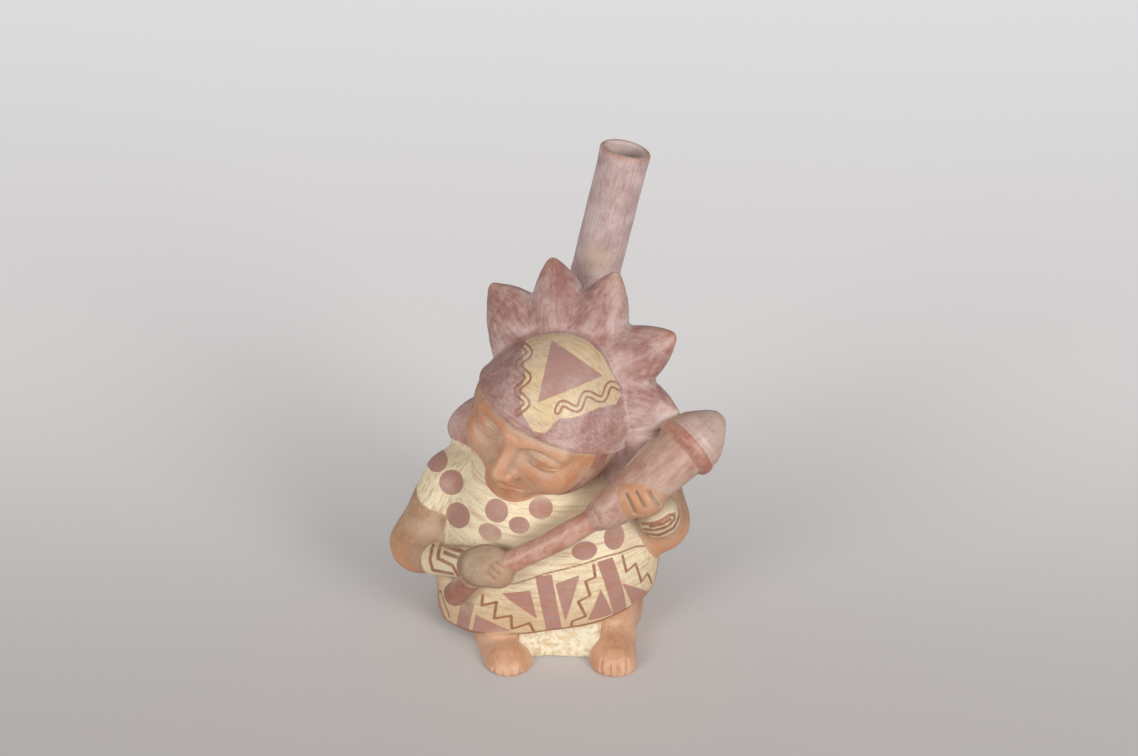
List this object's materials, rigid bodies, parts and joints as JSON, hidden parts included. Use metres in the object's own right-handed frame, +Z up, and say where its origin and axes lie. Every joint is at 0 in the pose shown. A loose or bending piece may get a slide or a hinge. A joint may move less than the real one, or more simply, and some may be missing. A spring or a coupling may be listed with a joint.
{
  "type": "stirrup-spout bottle",
  "caption": "Hollow fired-clay bottle modelled as a squatting figure with a rayed cap and a club, with a hoop-shaped hollow handle and a tubular spout behind the head.",
  "frame": {"origin": "centre of the flat underside of the base slab", "axes": "+Z up, the figure faces -Y, +X is the figure's left"},
  "size_m": [0.1778, 0.16, 0.26],
  "materials": {
    "cream_slip": "satin burnished cream slip with dark red-brown painted pattern",
    "dark_slip": "satin burnished dark red-purple slip, worn to red at the edges",
    "bare_clay": "satin burnished orange-brown clay"
  },
  "bodies": {
    "root": {"base_slab": "bare_clay", "chamber_front": "cream_slip", "chamber_back": "cream_slip", "face_half": "bare_clay", "nape_half": "bare_clay", "cap": "dark_slip", "headdress_point_1": "dark_slip", "headdress_point_2": "dark_slip", "headdress_point_3": "dark_slip", "headdress_point_4": "dark_slip", "headdress_point_5": "dark_slip", "chin_strap": "dark_slip", "neck_flap": "dark_slip", "club_shaft": "dark_slip", "club_head": "dark_slip", "club_ring": "dark_slip", "club_spike": "dark_slip", "club_butt": "dark_slip", "right_sleeve": "cream_slip", "right_arm": "bare_clay", "right_wristband": "cream_slip", "right_hand": "bare_clay", "left_sleeve": "cream_slip", "left_arm": "bare_clay", "left_wristband": "cream_slip", "left_hand": "bare_clay", "right_foot": "bare_clay", "left_foot": "bare_clay", "loincloth": "cream_slip", "stirrup_front_arm": "dark_slip", "stirrup_rear_arm": "dark_slip", "spout": "dark_slip"}
  },
  "joints": []
}
